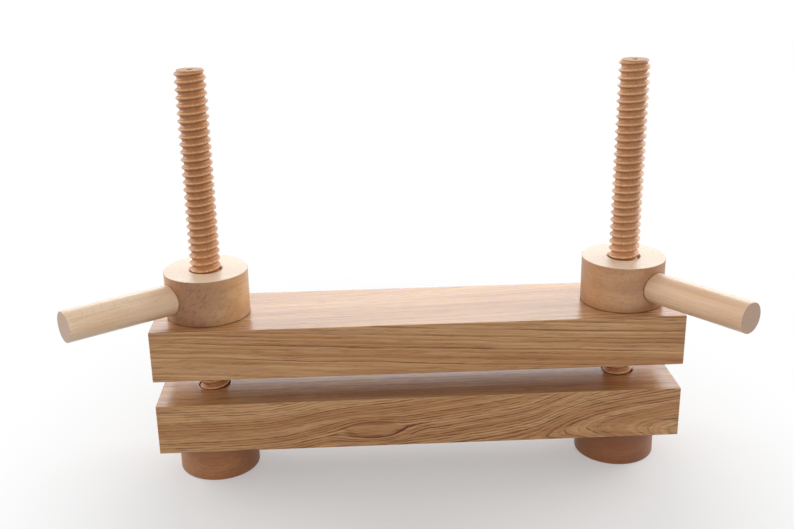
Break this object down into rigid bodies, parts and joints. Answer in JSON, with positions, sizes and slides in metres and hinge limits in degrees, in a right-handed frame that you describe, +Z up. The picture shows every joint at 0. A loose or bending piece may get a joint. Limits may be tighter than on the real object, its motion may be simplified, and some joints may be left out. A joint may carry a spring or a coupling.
{
  "type": "book press",
  "caption": "Wooden book press: oak beams on round feet, drawn together along upright wooden screws by round nuts with stub handles.",
  "frame": {"origin": "on the floor, midway between the two feet, under the middle of the lower beam", "axes": "+X to the right along the beams, +Y away from the front, +Z up along the screws"},
  "size_m": [0.7435, 0.2037, 0.4725],
  "materials": {
    "oak_lower": "oiled, satin",
    "oak_upper": "oiled, satin",
    "beech_screw": "oiled, satin",
    "beech_nut": "oiled, satin",
    "beech_foot": "oiled, satin",
    "beech_handle": "oiled, satin",
    "beech_pin": "bare, glued in"
  },
  "bodies": {
    "base": {"lower_beam": "oak_lower", "left_screw": "beech_screw", "right_screw": "beech_screw", "left_foot": "beech_foot", "right_foot": "beech_foot", "left_screw_pin": "beech_pin", "right_screw_pin": "beech_pin", "left_outer_dowel": "beech_pin", "left_inner_dowel": "beech_pin", "right_inner_dowel": "beech_pin", "right_outer_dowel": "beech_pin"},
    "platen": {"upper_beam": "oak_upper"},
    "left_nut_and_handle": {"left_nut": "beech_nut", "left_handle": "beech_handle", "left_handle_pin": "beech_pin"},
    "right_nut_and_handle": {"right_nut": "beech_nut", "right_handle": "beech_handle", "right_handle_pin": "beech_pin"}
  },
  "joints": [
    {"name": "platen_slide", "type": "slide", "parent": "base", "child": "platen", "axis": [0, 0, 1], "range_m": [-0.0303, 0.225]},
    {"name": "left_nut_turn", "type": "hinge", "parent": "platen", "child": "left_nut_and_handle", "pos_m": [-0.24, 0, 0.194], "axis": [0, 0, 1], "range_deg": [-1283, 9529]},
    {"name": "right_nut_turn", "type": "hinge", "parent": "platen", "child": "right_nut_and_handle", "pos_m": [0.24, 0, 0.194], "axis": [0, 0, 1], "range_deg": [-1283, 9529]}
  ],
  "couplings": [
    {"joint": "platen_slide", "follows": "left_nut_turn", "m_per_rad": 0.0013528},
    {"joint": "right_nut_turn", "follows": "left_nut_turn", "ratio": 1}
  ]
}
